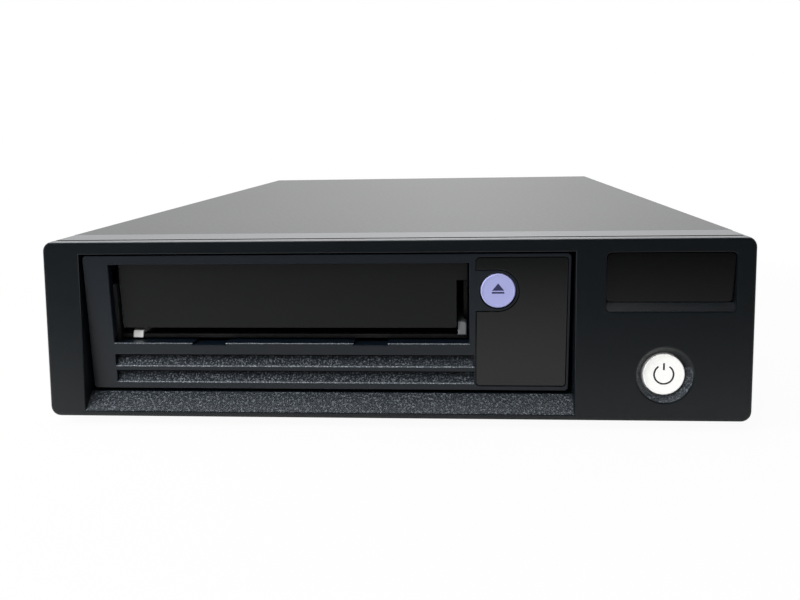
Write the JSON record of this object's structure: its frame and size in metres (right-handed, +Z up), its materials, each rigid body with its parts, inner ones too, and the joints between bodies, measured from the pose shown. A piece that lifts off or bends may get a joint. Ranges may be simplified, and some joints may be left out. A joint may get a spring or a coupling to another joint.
{
  "type": "data tape drive",
  "caption": "Tabletop cartridge tape drive: leaning dark fascia, recessed drive bezel with a flap door, lens and eject button, white power button, loader, reels and head inside.",
  "frame": {"origin": "middle of the footprint, on the surface the feet stand on", "axes": "+X to the right seen from the front, +Y from the fascia to the rear panel, +Z up"},
  "size_m": [0.213, 0.3258, 0.057],
  "materials": {
    "badge_gloss": "near-black gloss plastic",
    "black_lead": "black leads",
    "black_plastic": "black glass-filled plastic",
    "capacitor_sleeve": "dark sleeved capacitors",
    "cast_alloy": "die-cast aluminium",
    "catch_white": "white acetal",
    "charcoal_moulding": "charcoal moulded plastic, fine grain",
    "circuit_board": "green circuit board",
    "coil_tape": "yellow taped coil on a ferrite core",
    "cover_paint": "satin charcoal paint on sheet steel",
    "door_moulding": "dark grey moulded plastic",
    "drive_moulding": "dark grey moulded plastic",
    "foot_rubber": "black rubber",
    "gear_white": "natural acetal",
    "guide_grey": "grey acetal",
    "head_ceramic": "polished dark ceramic",
    "lens_gloss": "smoked gloss lens",
    "lilac_cap": "lilac satin plastic",
    "motor_can": "drawn steel can",
    "pin_brass": "plated brass",
    "port_shell": "stamped connector shell",
    "reel_black": "dark smooth reel",
    "ribbon_grey": "grey ribbon cable",
    "roller_alloy": "turned aluminium",
    "screw_steel": "zinc-plated screws",
    "spring_steel": "spring steel",
    "tray_steel": "nickel-plated sheet steel",
    "white_cap": "white satin plastic",
    "zinc_sheet": "zinc-plated sheet steel"
  },
  "bodies": {
    "enclosure": {"badge_plate": "badge_gloss", "board_connectors": "black_plastic", "chassis_base": "zinc_sheet", "data_cable": "ribbon_grey", "display_window": "lens_gloss", "door_spring": "spring_steel", "drive_base": "cast_alloy", "drive_bezel": "drive_moulding", "drive_cover": "zinc_sheet", "drive_rails": "zinc_sheet", "drive_screws": "screw_steel", "fan_frame": "black_plastic", "front_bezel": "charcoal_moulding", "front_panel_board": "circuit_board", "head_actuator": "motor_can", "head_frame": "cast_alloy", "inlet_pins": "pin_brass", "interface_board": "circuit_board", "loader_motor": "motor_can", "loader_plate_left": "tray_steel", "loader_plate_right": "tray_steel", "main_board": "circuit_board", "mains_inlet": "black_plastic", "panel_components": "black_plastic", "power_harness": "black_lead", "power_switch_board": "circuit_board", "psu_board": "circuit_board", "psu_capacitors": "capacitor_sleeve", "psu_frame": "zinc_sheet", "psu_transformer": "coil_tape", "rear_screws": "screw_steel", "roller_pins": "screw_steel", "rubber_feet": "foot_rubber", "sas_ports": "port_shell", "supply_motor": "motor_can", "takeup_motor": "motor_can", "threader_motor": "motor_can", "top_cover": "cover_paint"},
    "power_button": {"power_button": "white_cap"},
    "eject_button": {"eject_button": "lilac_cap"},
    "cartridge_door": {"cartridge_door": "door_moulding"},
    "cartridge_tray": {"cartridge_tray": "tray_steel", "tray_guides": "guide_grey", "cartridge_catch": "catch_white"},
    "loader_slider_left": {"loader_slider_left": "guide_grey"},
    "loader_slider_right": {"loader_slider_right": "guide_grey"},
    "sync_shaft": {"sync_shaft": "gear_white"},
    "loader_gear": {"loader_gear": "gear_white"},
    "motor_pinion": {"motor_pinion": "pin_brass"},
    "supply_chuck": {"supply_chuck": "black_plastic"},
    "takeup_reel": {"takeup_reel": "reel_black"},
    "head_carriage": {"head_carriage": "cast_alloy", "tape_head": "head_ceramic"},
    "threader_arm": {"threader_arm": "tray_steel"},
    "threader_pinion": {"threader_pinion": "pin_brass"},
    "fan_impeller": {"fan_impeller": "black_plastic"},
    "guide_roller_1": {"guide_roller_1": "roller_alloy"},
    "guide_roller_2": {"guide_roller_2": "roller_alloy"},
    "guide_roller_3": {"guide_roller_3": "roller_alloy"},
    "guide_roller_4": {"guide_roller_4": "roller_alloy"}
  },
  "joints": [
    {"name": "power_button_press", "type": "slide", "parent": "enclosure", "child": "power_button", "axis": [0, 0.9947, -0.1032], "range_m": [0, 0.0012], "stiffness_N_per_m": 300, "springref_m": -0.003},
    {"name": "eject_button_press", "type": "slide", "parent": "enclosure", "child": "eject_button", "axis": [0, 1, 0], "range_m": [0, 0.0008], "stiffness_N_per_m": 300, "springref_m": -0.003},
    {"name": "door_swing", "type": "hinge", "parent": "enclosure", "child": "cartridge_door", "pos_m": [-0.0312, -0.1533, 0.0497], "axis": [1, 0, 0], "range_deg": [0, 90], "stiffness_Nm_per_rad": 0.002, "springref_deg": -22.92},
    {"name": "tray_load", "type": "slide", "parent": "enclosure", "child": "cartridge_tray", "axis": [0, 0.9363, -0.3511], "range_m": [0, 0.01709]},
    {"name": "slider_left_run", "type": "slide", "parent": "enclosure", "child": "loader_slider_left", "axis": [0, 1, 0], "range_m": [0, 0.01601]},
    {"name": "slider_right_run", "type": "slide", "parent": "enclosure", "child": "loader_slider_right", "axis": [0, 1, 0], "range_m": [0, 0.01601]},
    {"name": "sync_shaft_turn", "type": "hinge", "parent": "enclosure", "child": "sync_shaft", "pos_m": [-0.0312, -0.13005, 0.01764], "axis": [1, 0, 0], "range_deg": [-229.23, 0]},
    {"name": "loader_gear_turn", "type": "hinge", "parent": "enclosure", "child": "loader_gear", "pos_m": [0.0276, -0.12777, 0.02614], "axis": [1, 0, 0], "range_deg": [0, 191.04]},
    {"name": "motor_pinion_turn", "type": "hinge", "parent": "enclosure", "child": "motor_pinion", "pos_m": [0.0276, -0.11232, 0.03028], "axis": [1, 0, 0], "range_deg": [-573.01, 0]},
    {"name": "supply_chuck_spin", "type": "hinge", "parent": "enclosure", "child": "supply_chuck", "pos_m": [-0.0312, -0.09275, 0.0126], "axis": [0, 0, 1], "continuous": true},
    {"name": "takeup_reel_spin", "type": "hinge", "parent": "enclosure", "child": "takeup_reel", "pos_m": [-0.044, 0.00295, 0.0126], "axis": [0, 0, 1], "continuous": true},
    {"name": "head_shift", "type": "slide", "parent": "enclosure", "child": "head_carriage", "axis": [0, 0, 1], "range_m": [-0.0025, 0.0025]},
    {"name": "threader_arm_swing", "type": "hinge", "parent": "enclosure", "child": "threader_arm", "pos_m": [-0.00053, -0.00363, 0.0126], "axis": [0, 0, 1], "range_deg": [0, 246.18]},
    {"name": "threader_pinion_turn", "type": "hinge", "parent": "enclosure", "child": "threader_pinion", "pos_m": [-0.00345, -0.02018, 0.0126], "axis": [0, 0, 1], "range_deg": [-615.55, 0]},
    {"name": "fan_spin", "type": "hinge", "parent": "enclosure", "child": "fan_impeller", "pos_m": [0.03, 0.13895, 0.03], "axis": [0, 1, 0], "continuous": true},
    {"name": "guide_roller_1_spin", "type": "hinge", "parent": "enclosure", "child": "guide_roller_1", "pos_m": [0.01852, -0.03413, 0.0126], "axis": [0, 0, 1], "continuous": true},
    {"name": "guide_roller_2_spin", "type": "hinge", "parent": "enclosure", "child": "guide_roller_2", "pos_m": [0.03122, -0.02051, 0.0126], "axis": [0, 0, 1], "continuous": true},
    {"name": "guide_roller_3_spin", "type": "hinge", "parent": "enclosure", "child": "guide_roller_3", "pos_m": [0.03122, 0.01325, 0.0126], "axis": [0, 0, 1], "continuous": true},
    {"name": "guide_roller_4_spin", "type": "hinge", "parent": "enclosure", "child": "guide_roller_4", "pos_m": [0.01635, 0.02812, 0.0126], "axis": [0, 0, 1], "continuous": true}
  ],
  "couplings": [
    {"joint": "slider_left_run", "follows": "tray_load", "ratio": 0.93633},
    {"joint": "slider_right_run", "follows": "tray_load", "ratio": 0.93633},
    {"joint": "sync_shaft_turn", "follows": "tray_load", "rad_per_m": -234.08},
    {"joint": "loader_gear_turn", "follows": "tray_load", "rad_per_m": 195.07},
    {"joint": "motor_pinion_turn", "follows": "tray_load", "rad_per_m": -585.21},
    {"joint": "threader_pinion_turn", "follows": "threader_arm_swing", "ratio": -2.5}
  ]
}
